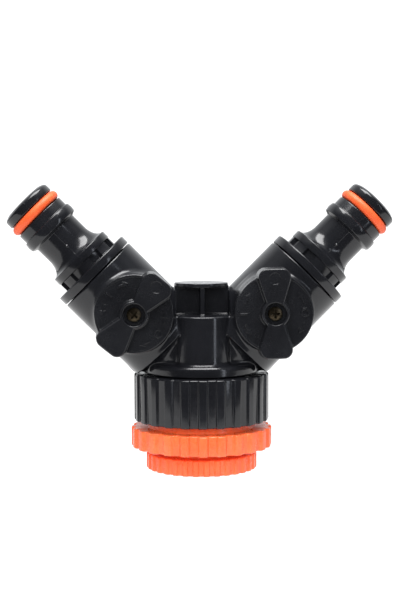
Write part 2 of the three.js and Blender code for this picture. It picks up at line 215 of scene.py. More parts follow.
def rubber(name, dark, light, rough):
    """Moulded rubber: matt, with a soft bloom and tiny pits."""
    n = Nodes(name)
    n.link(n.ramp(n.noise(260, 3, 0.6), [(0.3, dark), (0.72, light)]), n.shader.inputs["Base Color"])
    n.link(n.spread(n.noise(900, 2), 0.3, 0.7, rough[0], rough[1]), n.shader.inputs["Roughness"])
    n.link(n.bump(n.noise(2600, 3, 0.65), 0.18, 0.00004), n.shader.inputs["Normal"])
    n.set(IOR=1.52, Specular_IOR_Level=0.4)
    return n


def plated_metal(name, dark, light, rough):
    """Dull plated metal with turned marks and a little tarnish."""
    n = Nodes(name)
    n.link(n.ramp(n.noise(700, 4, 0.7), [(0.3, dark), (0.7, light)]), n.shader.inputs["Base Color"])
    turned = n.noise(1500, 2, 0.5, ((0, 0, 0), (1, 1, 0.2)))
    n.link(n.spread(turned, 0.3, 0.7, rough[0], rough[1]), n.shader.inputs["Roughness"])
    n.link(n.bump(turned, 0.25, 0.00003), n.shader.inputs["Normal"])
    n.set(Metallic=1.0)
    return n


black_plastic = moulded_plastic(
    "black_moulded_plastic", (0.0065, 0.0068, 0.0084), (0.0105, 0.011, 0.0132), (0.12, 0.22)
).material
lever_plastic = moulded_plastic(
    "black_lever_plastic", (0.007, 0.0073, 0.0088), (0.0115, 0.012, 0.0142), (0.2, 0.3), grain=1.4
).material
orange = moulded_plastic(
    "orange_red_moulded_plastic", (0.93, 0.125, 0.036), (0.97, 0.165, 0.055), (0.24, 0.36), grain=0.8
)
orange.set(Subsurface_Weight=0.25, Subsurface_Radius=(1.0, 0.25, 0.08), Subsurface_Scale=0.0012)
orange_plastic = orange.material
ring_rubber = rubber("orange_ring_rubber", (0.88, 0.095, 0.022), (0.96, 0.14, 0.038), (0.42, 0.58)).material
washer_rubber = rubber(
    "black_washer_rubber", (0.012, 0.012, 0.012), (0.024, 0.024, 0.024), (0.6, 0.8)
).material
seat_plastic = moulded_plastic(
    "white_seat_plastic", (0.72, 0.71, 0.66), (0.8, 0.79, 0.75), (0.38, 0.5)
).material
ball_plastic = moulded_plastic(
    "grey_ball_plastic", (0.13, 0.14, 0.15), (0.17, 0.18, 0.19), (0.12, 0.2), grain=0.4
).material
screw_metal = plated_metal(
    "plated_screw_metal", (0.045, 0.036, 0.024), (0.14, 0.11, 0.07), (0.3, 0.5)
).material

# ================================================================ mesh building


def moved(points, matrix):
    points = np.asarray(points, float)
    return points @ matrix[:3, :3].T + matrix[:3, 3]


def make_piece(name, points, faces, material, body, nodes=(), normals=None, sharp=None):
    """A mesh object in metres that rides on a body and stands for the CAD nodes given."""
    mesh = bpy.data.meshes.new(name)
    faces = np.asarray(faces, np.int32)
    sides = faces.shape[1]
    mesh.vertices.add(len(points))
    mesh.vertices.foreach_set("co", (np.asarray(points) * MM).astype(np.float32).ravel())
    mesh.loops.add(faces.size)
    mesh.loops.foreach_set("vertex_index", faces.ravel())
    mesh.polygons.add(len(faces))
    mesh.polygons.foreach_set("loop_start", np.arange(0, faces.size, sides, dtype=np.int32))
    mesh.polygons.foreach_set("use_smooth", np.ones(len(faces), bool))
    mesh.update(calc_edges=True)
    mesh.validate()
    if sharp is not None:
        mesh.set_sharp_from_angle(angle=math.radians(sharp))
    if normals is not None:
        mesh.normals_split_custom_set_from_vertices(normals.astype(float).tolist())
    mesh.materials.append(material)
    piece = bpy.data.objects.new(name, mesh)
    bpy.context.scene.collection.objects.link(piece)
    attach(piece, body)
    if nodes:
        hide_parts(*nodes)
    return piece


def arm_matrix(side):
    """Local +Z runs out along an arm, from the crossing of the two axes."""
    a = side * math.pi / 4
    m = np.eye(4)
    m[:3, 0] = (math.cos(a), 0, -math.sin(a))
    m[:3, 2] = (math.sin(a), 0, math.cos(a))
    m[2, 3] = ARM_CROSS_Z
    return m


def valve_matrix(side, turn):
    """Local +Z runs forwards from a ball's centre, local +X along the knob's lever."""
    reach = BALL_S * math.sqrt(0.5)
    m = np.eye(4)
    m[:3, 0] = (math.cos(turn), 0, math.sin(turn))
    m[:3, 1] = (-math.sin(turn), 0, math.cos(turn))
    m[:3, 2] = (0, -1, 0)
    m[:3, 3] = (side * reach, 0, ARM_CROSS_Z + reach)
    return m


# ---------------------------------------------------------------- turned pieces


def rounded_loop(corners, arc=5):
    """A closed outline from (r, z, corner radius) corners, each corner turned into an arc."""
    out = []
    count = len(corners)
    for i, (r, z, radius) in enumerate(corners):
        here = np.array((r, z), float)
        before = np.array(corners[i - 1][:2], float) - here
        after = np.array(corners[(i + 1) % count][:2], float) - here
        if radius <= 0:
            out.append(here)
            continue
        b = before / np.linalg.norm(before)
        a = after / np.linalg.norm(after)
        half = math.acos(max(-1, min(1, float(b @ a)))) / 2
        reach = radius / math.tan(half)
        centre = here + (a + b) / np.linalg.norm(a + b) * radius / math.sin(half)
        start = here + b * reach - centre
        end = here + a * reach - centre
        sweep = math.pi - 2 * half
        way = math.copysign(1, start[0] * end[1] - start[1] * end[0])
        for k in range(arc + 1):
            t = way * sweep * k / arc
            c, s = math.cos(t), math.sin(t)
            out.append(centre + np.array((start[0] * c - start[1] * s, start[0] * s + start[1] * c)))
    return np.array(out)


def refined(loop, where, longest):
    """Splits each edge whose ends both satisfy where(r, z) into pieces no longer than `longest`."""
    out = []
    for i, p in enumerate(loop):
        q = loop[(i + 1) % len(loop)]
        out.append(p)
        if where(*p) and where(*q):
            pieces = max(1, math.ceil(np.linalg.norm(q - p) / longest))
            out.extend(p + (q - p) * k / pieces for k in range(1, pieces))
    return np.array(out)


def swept(loop, angles, shift=None):
    """The closed outline turned round Z at these angles. shift(angle, r, z) moves points outwards."""
    r = np.broadcast_to(loop[:, 0], (len(angles), len(loop)))
    z = np.broadcast_to(loop[:, 1], r.shape)
    a = np.broadcast_to(angles[:, None], r.shape)
    if shift is not None:
        r = r + shift(a, r, z)
    points = np.stack([r * np.cos(a), r * np.sin(a), z], -1).reshape(-1, 3)
    m, n = r.shape
    i, j = np.meshgrid(np.arange(m), np.arange(n), indexing="ij")
    i2, j2 = (i + 1) % m, (j + 1) % n
    faces = np.stack([i * n + j, i2 * n + j, i2 * n + j2, i * n + j2], -1).reshape(-1, 4)
    area = np.sum(loop[:, 0] * np.roll(loop[:, 1], -1) - np.roll(loop[:, 0], -1) * loop[:, 1])
    return points, faces if area > 0 else faces[:, ::-1]


def even_angles(count):
    return np.arange(count) * 2 * math.pi / count


def rib_angles(count, phase, shares):
    """Angles for `count` ribs, sampled closely where the flanks are."""
    shares = np.array(sorted(set(round(s, 4) for s in shares)))
    pitch = 2 * math.pi / count
    return (np.arange(count)[:, None] * pitch + shares[None] * pitch + phase).ravel()


def step(x, low, high):
    t = np.clip((x - low) / (high - low), 0, 1)
    return t * t * (3 - 2 * t)


def rib_gap(angle, count, phase, land, slope):
    """0 on a rib's land, 1 in the gap beside it."""
    pitch = 2 * math.pi / count
    share = np.abs(((angle - phase) / pitch + 0.5) % 1 - 0.5)
    return step(share, land / 2 - slope / 2, land / 2 + slope / 2)


def thread_share(angle, z, pitch, low, high):
    """How far up a right-hand thread's flank a point is, and how fully the thread is cut there."""
    turn = z / pitch - angle / (2 * math.pi)
    off = 2 * np.abs((turn + 0.5) % 1 - 0.5)
    fall = np.clip((off - 0.14) / 0.7, 0, 1)
    return fall, step(z, low, low + 0.7 * pitch) * (1 - step(z, high - 0.7 * pitch, high))


def male_thread(angle, z, pitch, depth, low, high):
    """How far a male thread lies below its crest. It runs out at both ends."""
    fall, live = thread_share(angle, z, pitch, low, high)
    return depth * (1 - live * (1 - fall))


def female_thread(angle, z, pitch, depth, low, high):
    """How far a female thread stands in from its root. It clears the male thread of the same phase."""
    fall, live = thread_share(angle, z, pitch, low, high)
    return depth * fall * live


# where each rib is sampled, as shares of its pitch: closely on the two flanks
RIB_SHARES = [0, 0.08, 0.16, 0.2, 0.225, 0.25, 0.275, 0.3, 0.34, 0.42,
              0.5, 0.58, 0.66, 0.7, 0.725, 0.75, 0.775, 0.8, 0.84, 0.92]


def swivel_nut():
    roof_hole = NECK_R + 0.4
    loop = rounded_loop([
        (NUT_BORE_R, NUT_Z, 0.3), (NUT_R, NUT_Z, 0.45), (NUT_R, NUT_TOP_Z, 0.55),
        (roof_hole, NUT_TOP_Z, 0.25), (roof_hole, NUT_ROOF_Z, 0.2), (NUT_BORE_R, NUT_ROOF_Z, 0.3),
    ])

    def on_bore(r, z):
        return abs(r - NUT_BORE_R) < 0.02 and NUT_Z < z < NUT_ROOF_Z

    loop = refined(loop, on_bore, G1_PITCH / 9)

    def shift(a, r, z):
        gap = rib_gap(a, RIB_COUNT, RIB_PHASE, RIB_LAND, 0.1)
        fade = 1 - 0.35 * step(z, NUT_TOP_Z - 1.6, NUT_TOP_Z - 0.2)
        ribs = -NUT_RIB_DEPTH * gap * (r > NUT_R - 0.6) * fade
        threaded = np.abs(r - NUT_BORE_R) < 0.02
        inwards = female_thread(a, z, G1_PITCH, G1_DEPTH, NUT_Z + 0.8, NUT_ROOF_Z - 2.2)
        return ribs - threaded * inwards

    points, faces = swept(loop, rib_angles(RIB_COUNT, RIB_PHASE, RIB_SHARES), shift)
    make_piece("swivel_nut_ribbed", points, faces, black_plastic, "nut",
               ["swivel_nut"], sharp=50)


def reducer(name, node, body, rim, male, socket, bore, count, phase, depth, pitches):
    """A thread reducer: ribbed rim, male thread above it, female thread inside.

    rim is (radius, bottom, top), male (radius, bottom, top) and socket (radius, top).
    """
    rim_r, rim_z, rim_top = rim
    male_r, neck_top, top = male
    socket_r, socket_top = socket
    neck_r = male_r - 0.15
    loop = rounded_loop([
        (socket_r, rim_z, 0.25), (rim_r, rim_z, 0.5), (rim_r, rim_top, 0.4), (neck_r, rim_top, 0.25),
        (neck_r, neck_top, 0), (male_r - 0.01, neck_top + 0.2, 0), (male_r - 0.01, top - 0.5, 0),
        (male_r - 1.3, top, 0.1), (bore, top, 0.3), (bore, socket_top, 0.2), (socket_r, socket_top, 0.2),
    ], arc=4)
    loop = refined(loop, lambda r, z: abs(r - male_r + 0.01) < 0.02 and z > neck_top, pitches[0] / 9)
    loop = refined(loop, lambda r, z: abs(r - socket_r) < 0.02, pitches[1] / 9)

    def shift(a, r, z):
        gap = rib_gap(a, count, phase, RIB_LAND, 0.16)
        ribs = -depth * gap * (r > rim_r - 0.52)
        on_male = (np.abs(r - male_r + 0.01) < 0.02) & (z > neck_top)
        on_female = np.abs(r - socket_r) < 0.02
        below = male_thread(a, z, pitches[0], 0.496 * pitches[0], neck_top + 0.1, top - 0.2)
        inwards = female_thread(a, z, pitches[1], 0.45 * pitches[1], rim_z + 0.6, socket_top - 2)
        return ribs - on_male * below - on_female * inwards

    points, faces = swept(loop, rib_angles(count, phase, RIB_SHARES), shift)
    make_piece(name, points, faces, orange_plastic, body, [node], sharp=50)


def washer(name, node, body, outer, inner, low, high):
    loop = rounded_loop([(inner, low, 0.3), (outer, low, 0.35), (outer, high, 0.35), (inner, high, 0.3)])

    def shift(a, r, z):
        return 0.03 * np.sin(3 * a + r) * (r > outer - 0.4)

    points, faces = swept(loop, even_angles(96), shift)
    make_piece(name, points, faces, washer_rubber, body, [node], sharp=60)


def nipple_loop():
    """The outlet nipple's outline, from its seat in the arm out to its rounded tip."""
    bore, core, collar, waist = NIPPLE_BORE_R, COLLAR_CORE_R, COLLAR_R, NIPPLE_WAIST_R
    seat_r, start = OUTLET_SEAT_R, BALL_S + OUTLET_SEAT_FAR + SEAT_GAP
    corners = [
        (bore, start, 0.3), (seat_r, start, 0.3), (seat_r, 44.3, 0.1), (ARM_R, 44.3, 0.3),
        (ARM_R, 47, 0.45), (core, 47, 0.15), (core, 49.6, 0.1), (collar, 49.6, 0.25),
        (collar, 52, 0.3),
    ]
    for i in range(2, 13):
        a = math.pi / 2 * i / 12
        corners.append((waist + (collar - waist) * (1 - math.sin(a)), 52 + 4.6 * (1 - math.cos(a)), 0))
    corners += [
        (waist, 57.4, 0), (waist, 61.8, 0.4), (8.75, 62.45, 0.5), (8.95, 63.9, 0.0),
        (8.75, 65.35, 0.35), (8.25, 65.45, 0.2), (8.25, 68.4, 0.35), (5.75, 68.4, 0.25),
        (5.75, 71.6, 0.25), (8.2, 71.6, 0.35), (8.2, 74.1, 1.2), (6.6, 74.8, 0.35),
        (5.2, 74.8, 0.4), (bore, 73.9, 0.4),
    ]
    return refined(rounded_loop(corners), lambda r, z: 55.6 < z < 57.5 and 7 < r < 8, 0.11)


def angle_from(a, middle):
    return np.abs((a - middle + math.pi) % (2 * math.pi) - math.pi)


def nipple_shift(a, r, z):
    """The collar's blocks, the mould seams front and back, and the gate mark in front."""
    seam = math.pi / 2
    block = 1 - rib_gap(a, COLLAR_BLOCKS, 0, 2 * BLOCK_HALF_SHARE, 0.04)
    block = block * (np.abs(z - 48.3) < 1.29) * (r < 9.2) * (r > 8.5)
    away = np.minimum(angle_from(a, seam), angle_from(a, -seam))
    clear_of_ring = (z < 68.3) | (z > 71.8)
    ridge = np.exp(-(away * 8 / 0.11) ** 2) * (r > 7.2) * (z > 49) * clear_of_ring
    front = angle_from(a, -seam) * NIPPLE_WAIST_R
    nub = np.exp(-(front / 0.26) ** 2 - ((z - GATE_MARK_S) / 0.26) ** 2) * (r < 8) * (r > 7)
    return 1.05 * block + 0.07 * ridge + 0.3 * nub


def seal_ring_shift(a, r, z):
    """A moulding line round the outside, and a slightly uneven seat."""
    line = np.exp(-((z - SEAL_RING_S) / 0.16) ** 2) * (r > 8)
    return 0.035 * line + 0.02 * np.sin(2 * a + 1)


def torus_loop(radius, z, section, count):
    turns = np.linspace(0, 2 * math.pi, count, endpoint=False)
    return np.array([(radius + section * math.cos(t), z + section * math.sin(t)) for t in turns])


def nipples():
    loop = nipple_loop()
    half = BLOCK_HALF_SHARE
    shares = [0, 0.1, 0.2, half - 0.02, half, half + 0.02, 0.4, 0.5, 0.6,
              1 - half - 0.02, 1 - half, 1 - half + 0.02, 0.8, 0.9]
    beside_seam = (-0.05, -0.035, -0.022, -0.011, 0, 0.011, 0.022, 0.035, 0.05)
    seams = [way * math.pi / 2 + d for way in (1, -1) for d in beside_seam]
    around = [*rib_angles(COLLAR_BLOCKS, 0, shares), *seams]
    angles = np.array(sorted({round(a % (2 * math.pi), 5) for a in around}))
    nipple, nipple_faces = swept(loop, angles, nipple_shift)
    ring_loop = torus_loop(NIPPLE_WAIST_R, SEAL_RING_S, SEAL_RING_SECTION_R, 28)
    ring, ring_faces = swept(ring_loop, even_angles(128), seal_ring_shift)
    for label, side, _ in SIDES:
        m = arm_matrix(side)
        make_piece(label + "_hose_nipple", moved(nipple, m), nipple_faces, black_plastic,
                   "manifold", [label + "_outlet_nipple"], sharp=38)
        make_piece(label + "_seal_ring", moved(ring, m), ring_faces, ring_rubber,
                   "manifold", [label + "_nipple_oring"])


# ---------------------------------------------------------------- distance fields


def cylinder(x, y, z, radius, low, high, rounding=0.0):
    """A round bar along z."""
    a = np.hypot(x, y) - radius + rounding
    b = np.abs(z - (low + high) / 2) - (high - low) / 2 + rounding
    return np.minimum(np.maximum(a, b), 0) + np.hypot(np.maximum(a, 0), np.maximum(b, 0)) - rounding


def box(x, y, z, half, rounding=0.0):
    a, b, c = np.abs(x) - half[0] + rounding, np.abs(y) - half[1] + rounding, np.abs(z) - half[2] + rounding
    outside = np.sqrt(np.maximum(a, 0) ** 2 + np.maximum(b, 0) ** 2 + np.maximum(c, 0) ** 2)
    return outside + np.minimum(np.maximum(np.maximum(a, b), c), 0) - rounding


def slab(flat, z, low, high, rounding=0.0):
    """A flat outline's distance made into a plate with rounded edges."""
    a = flat + rounding
    b = np.abs(z - (low + high) / 2) - (high - low) / 2 + rounding
    return np.minimum(np.maximum(a, b), 0) + np.hypot(np.maximum(a, 0), np.maximum(b, 0)) - rounding


def join(a, b, fillet=0.0):
    if fillet <= 0:
        return np.minimum(a, b)
    h = np.maximum(fillet - np.abs(a - b), 0) / fillet
    return np.minimum(a, b) - h * h * fillet / 4


def cut(a, b, edge=0.0):
    return -join(-a, b, edge)


def both(a, b, edge=0.0):
    return -join(-a, -b, edge)


def polygon(x, y, outline):
    """Signed distance to a closed outline in a plane."""
    shape = np.broadcast(x, y).shape
    best = np.full(shape, 1e9, np.float32)
    inside = np.zeros(shape, bool)
    count = len(outline)
    for i in range(count):
        (ax, ay), (bx, by) = outline[i], outline[(i + 1) % count]
        ex, ey = bx - ax, by - ay
        t = np.clip(((x - ax) * ex + (y - ay) * ey) / (ex * ex + ey * ey), 0, 1)
        best = np.minimum(best, np.hypot(x - ax - t * ex, y - ay - t * ey))
        if ay != by:
            crosses = ((ay > y) != (by > y)) & (x < (bx - ax) * (y - ay) / (by - ay) + ax)
            inside ^= crosses
    return np.where(inside, -best, best)


CELL_EDGES = [((0, 0, 0), (1, 0, 0)), ((0, 1, 0), (1, 1, 0)), ((0, 0, 1), (1, 0, 1)), ((0, 1, 1), (1, 1, 1)),
              ((0, 0, 0), (0, 1, 0)), ((1, 0, 0), (1, 1, 0)), ((0, 0, 1), (0, 1, 1)), ((1, 0, 1), (1, 1, 1)),
              ((0, 0, 0), (0, 0, 1)), ((1, 0, 0), (1, 0, 1)), ((0, 1, 0), (0, 1, 1)), ((1, 1, 0), (1, 1, 1))]


def surface_of(field, low, high, pitch):
    """The zero surface of a distance field as quads, with its vertices and unit normals."""
    axes = [np.arange(a, b + pitch, pitch, dtype=np.float32) for a, b in zip(low, high)]
    x, y, z = axes[0][:, None, None], axes[1][None, :, None], axes[2][None, None, :]
    value = np.broadcast_to(field(x, y, z), [len(a) for a in axes]).astype(np.float32)
    inside = value < 0
    nx, ny, nz = inside.shape
    count = np.zeros((nx - 1, ny - 1, nz - 1), np.uint8)
    for i in (0, 1):
        for j in (0, 1):
            for k in (0, 1):
                count += inside[i:nx - 1 + i, j:ny - 1 + j, k:nz - 1 + k]
    active = (count > 0) & (count < 8)
    cells = np.argwhere(active)
    number = np.full(active.shape, -1, np.int64)
    number[active] = np.arange(len(cells))
    total = np.zeros((len(cells), 3))
    hits = np.zeros(len(cells))
    for a, b in CELL_EDGES:
        a, b = np.array(a), np.array(b)
        va = value[tuple((cells + a).T)]
        vb = value[tuple((cells + b).T)]
        cross = (va < 0) != (vb < 0)
        t = np.where(cross, va / np.where(cross, va - vb, 1), 0)
        total += np.where(cross[:, None], a + t[:, None] * (b - a), 0)
        hits += cross
    points = np.array(low) + (cells + total / hits[:, None]) * pitch

    def slope(p):
        h = 0.03
        g = np.empty_like(p)
        for axis in range(3):
            d = np.zeros(3)
            d[axis] = h
            g[:, axis] = (field(*(p + d).T) - field(*(p - d).T)) / (2 * h)
        return g

    start = points.copy()
    for _ in range(3):
        g = slope(points)
        f = field(*points.T)
        points = points - (f / np.maximum((g * g).sum(1), 0.05))[:, None] * g
        points = start + np.clip(points - start, -0.7 * pitch, 0.7 * pitch)
    normals = slope(points)
    normals /= np.maximum(np.linalg.norm(normals, axis=1), 1e-9)[:, None]

    faces = []
    for axis in range(3):
        u, v = (axis + 1) % 3, (axis + 2) % 3
        first = [slice(None)] * 3
        second = [slice(None)] * 3
        first[axis], second[axis] = slice(0, -1), slice(1, None)
        change = inside[tuple(first)] != inside[tuple(second)]
        spots = np.argwhere(change)
        spots = spots[(spots[:, u] > 0) & (spots[:, v] > 0)
                      & (spots[:, u] < inside.shape[u] - 1) & (spots[:, v] < inside.shape[v] - 1)]
        opens = inside[tuple(spots.T)]
        corners = []
        for du, dv in ((-1, -1), (0, -1), (0, 0), (-1, 0)):
            cell = spots.copy()
            cell[:, u] += du
            cell[:, v] += dv
            corners.append(number[tuple(cell.T)])
        quad = np.stack(corners, -1)
        faces.append(np.where(opens[:, None], quad, quad[:, ::-1]))
    return points, np.concatenate(faces), normals


# ---------------------------------------------------------------- manifold


def manifold_field(x, y, z):
    ax = np.abs(x)
    s = (ax + z - ARM_CROSS_Z) * math.sqrt(0.5)
    p = (ax - z + ARM_CROSS_Z) * math.sqrt(0.5)
    housing = join(
        cylinder(p, y, s, ARM_ROOT_R, 4, ARM_END_S - 1),
        cylinder(p, y, s, ARM_R, 14.6, ARM_END_S, 0.4), 2.4,
    )
    web = box(p, y, s - 9.8, (12.8, 1.5, 7.8), 0.5)
    arm = join(housing, web, 1.2)
    reach = BALL_S * math.sqrt(0.5)
    bonnet = cylinder(ax - reach, z - ARM_CROSS_Z - reach, -y, BONNET_R, 6, BONNET_FACE, 0.35)
    arm = join(arm, bonnet, 1.6)
    arm = cut(arm, box(x, y, z - SHOULDER_Z - 10, (8.05, 30, 10), 0.15), 0.3)
    body = both(arm, FLANGE_Z + 0.2 - z)
    flange = cylinder(x, y, z, FLANGE_R, 24, FLANGE_TOP_Z, FLANGE_ROUND)
    flange = both(flange, FLANGE_Z - z, 0.3)
    crown = np.hypot(x, np.abs(y) - (PAD_FRONT - PAD_CROWN_R)) - PAD_CROWN_R
    plan = both(np.abs(x) - PAD_HALF, crown, 1.4)
    pad = slab(plan, z, 27, SHOULDER_Z, 0.55)
    pad = both(pad, FLANGE_Z + 0.4 - z)
    body = join(body, pad, 0.5)
    body = join(body, flange, 1.0)
    height = (BOSS_TOP_Z - 0.5 + SHOULDER_Z - 2) / 2
    half = (BOSS_TOP_Z - SHOULDER_Z + 1) / 2
    rib = box(x, y, z - height, (0.65, 7.6, half), 0.15)
    plate = box(x, y, z - height, (BOSS_R, 3, half), 0.15)
    disc = cylinder(x, y, z, BOSS_R, BOSS_TOP_Z - 1.2, BOSS_TOP_Z, 0.25)
    gate = cylinder(x, y, z, 0.55, BOSS_TOP_Z - 0.5, BOSS_TOP_Z, 0.1)
    top = join(join(join(rib, plate, 0.4), disc, 0.5), gate, 0.2)
    body = join(body, top, 0.5)
    neck = cylinder(x, y, z, NECK_R, NECK_Z, FLANGE_Z + 1, 0.25)
    groove = both(np.abs(z - (NUT_ROOF_Z - 0.9)) - 0.9, 11.8 - np.hypot(x, y))
    body = join(body, cut(neck, groove))
    body = cut(body, cylinder(x, y, z, INLET_BORE_R, NECK_Z - 3, FLANGE_Z + 1.8, 0.1), 0.4)
    body = cut(body, cylinder(x, y, z, CHAMBER_R, FLANGE_Z - 2, CHAMBER_TOP_Z, 0.1), 0.3)
    body = cut(body, cylinder(p, y, s, PORT_R, 4, 22))
    body = cut(body, cylinder(p, y, s, INLET_SEAT_R + SEAT_GAP, BALL_S - INLET_SEAT_FAR - SEAT_GAP, 27))
    body = cut(body, cylinder(p, y, s, OUTLET_SEAT_R + SEAT_GAP, 25, ARM_END_S + 4))
    stem_x, stem_z = ax - reach, z - ARM_CROSS_Z - reach
    body = cut(body, cylinder(stem_x, stem_z, -y, 4.5, 8, 12.6))
    return cut(body, cylinder(stem_x, stem_z, -y, 3.4, 8, 16))


def manifold():
    pitch = 0.34
    points, faces, normals = surface_of(manifold_field, (-41.6, -18, 23.2), (41.6, 18, 69.4), pitch)
    make_piece("manifold_moulding", points, faces, black_plastic, "manifold",
               ["manifold_body"], normals=normals)


# ---------------------------------------------------------------- knobs


def mark_fields(u, w):
    """Flat outlines of the raised marks: turn arrows, with a bar on one side and a ring on the other."""
    radius = np.hypot(u, w)
    angle = np.degrees(np.arctan2(w, u))
    found = np.full(np.broadcast(u, w).shape, 1e3, np.float32)
    for middle in (90.0, -90.0):
        for way in (1, -1):
            low, high = 20.0, 33.0
            off = (angle - middle) * way
            length = np.abs(off - (low + high) / 2) - (high - low) / 2
            arc = np.maximum(np.abs(radius - MARK_RADIUS) - 0.24, length * 0.157)  # mm per degree
            tip = math.radians(middle + way * high)
            cx, cy = MARK_RADIUS * math.cos(tip), MARK_RADIUS * math.sin(tip)
            tx, ty = -math.sin(tip) * way, math.cos(tip) * way
            nx, ny = math.cos(tip), math.sin(tip)
            along = (u - cx) * tx + (w - cy) * ty
            across = np.abs((u - cx) * nx + (w - cy) * ny)
            head = np.maximum(-along - 0.15, (across + 0.62 * along - 0.78) * 0.85)
            found = np.minimum(found, np.minimum(arc, head))
    bar = np.maximum(np.abs(u) - 0.24, np.abs(w - 8.9) - 1.15)
    ring = np.abs(np.hypot(u, w + 8.9) - 1.05) - 0.23
    return np.minimum(found, np.minimum(bar, ring))


def lever_outline():
    """One wing of the bow-tie lever, as a trapezoid with a rounded end."""
    end, half, corner = LEVER_END, 4.8, 2.7
    low_u, low_w = 2.6, 2.55
    slope = (half - low_w) / (end - corner - low_u)
    outline = [(0.0, -low_w + 0.3), (low_u, -low_w)]
    tip_u = end - corner
    start = math.atan(slope)
    upper = []
    for i in range(8):
        a = math.pi / 2 + start - (math.pi / 2 + start - 0.18) * i / 7
        upper.append((tip_u + corner * math.cos(a), half - corner + 0.1 + corner * math.sin(a)))
    upper.append((end, half * 0.25))
    outline += [(a, -b) for a, b in upper]
    outline += upper[::-1]
    outline += [(low_u, low_w), (0.0, low_w - 0.3)]
    return outline


WING = lever_outline()


def knob_field(u, w, v):
    disc = cylinder(u, w, v, KNOB_R, KNOB_BACK, KNOB_FACE, 0.38)
    dish = cylinder(u, w, v, KNOB_R - 0.8, KNOB_FACE - 0.15, 20, 0.1)
    disc = cut(disc, dish, 0.15)
    wing = polygon(np.abs(u) + 0 * w, w + 0 * u, WING)
    hub = np.hypot(u, w) - 4.2
    plan = join(wing, hub, 0.25)
    draft = 0.055 * (v - 17.3)
    lever = slab(plan + draft, v, LEVER_BACK, LEVER_FACE, 0.45)
    recess = cylinder(u, w, v, RECESS_R, RECESS_FLOOR, 24, 0.2)
    lever = cut(lever, recess, 0.5)
    dimple = cylinder(u - 10.2, w, v, 1.7, 20.47, 24, 0.05)
    lever = cut(lever, dimple, 0.1)
    marks = slab(mark_fields(u, w), v, 17.0, 17.72, 0.08)
    body = join(join(disc, marks, 0.1), lever, 0.45)
    body = cut(body, recess, 0.2)
    socket = both(cylinder(u, w, v, 3.4, 13, 17.2), np.abs(u) - 2.5)
    body = cut(body, socket)
    return cut(body, cylinder(u, w, v, 1.4, 14, 19.3))


def screw_field(u, w, v):
    head = cylinder(u, w, v, 2.1, 18.6, 19.75, 0.3)
    dome = np.sqrt(u * u + w * w + (v - 15.75) ** 2) - 4.0
    head = both(head, dome, 0.15)
    slot = box(u, w, v - 19.7, (1.3, 0.3, 0.8), 0.06)
    cross = np.minimum(slot, box(u, w, v - 19.7, (0.3, 1.3, 0.8), 0.06))
    head = cut(head, cross, 0.08)
    return join(head, cylinder(u, w, v, 1.1, 13, 18.8, 0.15), 0.1)


def stem_field(u, w, v):
    shaft = cut(cylinder(u, w, v, 4.2, BALL_R + 0.2, 12.3, 0.2),
                both(np.abs(v - STEM_SEAL_V) - 0.8, 3.0 - np.hypot(u, w)))
    shaft = join(shaft, cylinder(u, w, v, 3.1, 12, 16.9, 0.2))
    shaft = both(shaft, np.where(v > 12.4, np.abs(u) - 2.2, -1.0))
    shaft = join(shaft, box(u, w, v - 7.2, (1.3, 3.5, 1.8), 0.15))
    return cut(shaft, cylinder(u, w, v, 1.4, 12.6, 18))


def ball_field(u, w, v):
    ball = np.sqrt(u * u + w * w + v * v) - BALL_R
    ball = cut(ball, cylinder(w, v, u, BALL_BORE_R, -12, 12), 0.5)
    return cut(ball, box(u, w, v - 7.1, (1.6, 10, 2), 0.1), 0.2)


def valves():
    coarse = 1.0
    knob = surface_of(knob_field, (-14, -12.3, 13.7), (14, 12.3, 21.2), 0.16 * coarse)
    screw = surface_of(screw_field, (-2.5, -2.5, 12.7), (2.5, 2.5, 20.6), 0.09 * coarse)
    stem = surface_of(stem_field, (-4.7, -4.7, 6.4), (4.7, 4.7, 17.4), 0.2 * coarse)
    ball = surface_of(ball_field, (-10, -10, -10), (10, 10, 10), 0.34 * coarse)
    section = torus_loop(3.78, STEM_SEAL_V, 0.62, 16)
    for label, side, turn in SIDES:
        m = valve_matrix(side, turn)
        body = label + "_valve"
        for suffix, made, material, slot, node in (
            ("_lever_knob", knob, lever_plastic, "black_plastic", "_knob"),
            ("_lever_screw", screw, screw_metal, "screw_metal", "_knob_screw"),
            ("_drive_stem", stem, black_plastic, "black_plastic", "_stem"),
            ("_valve_ball", ball, ball_plastic, "ball_plastic", "_ball"),
        ):
            points, faces, normals = made
            make_piece(label + suffix, moved(points, m), faces, material, body, [label + node],
                       normals=normals @ m[:3, :3].T)
        points, faces = swept(section, even_angles(48), lambda a, r, z: 0.01 * np.sin(3 * a))
        make_piece(label + "_stem_seal", moved(points, m), faces, washer_rubber, body,
                   [label + "_stem_oring"])


def seats():
    face = BALL_R + 0.3
    for label, side, _ in SIDES:
        for place, way, outer, far in (("inlet", -1, INLET_SEAT_R, INLET_SEAT_FAR),
                                       ("outlet", 1, OUTLET_SEAT_R, OUTLET_SEAT_FAR)):
            corners = [(outer, SEAT_NEAR, 0.15), (outer, far, 0.3), (SEAT_INNER_R, far, 0.3)]
            for i in range(9):
                r = SEAT_INNER_R + (math.sqrt(face ** 2 - SEAT_NEAR ** 2) - SEAT_INNER_R) * i / 8
                corners.append((r, math.sqrt(face ** 2 - r * r), 0))
            loop = rounded_loop(corners)
            loop[:, 1] = BALL_S + way * loop[:, 1]
            points, faces = swept(loop, even_angles(72))
            make_piece(f"{label}_{place}_ball_seat", moved(points, arm_matrix(side)), faces, seat_plastic,
                       "manifold", [f"{label}_{place}_seat"], sharp=40)


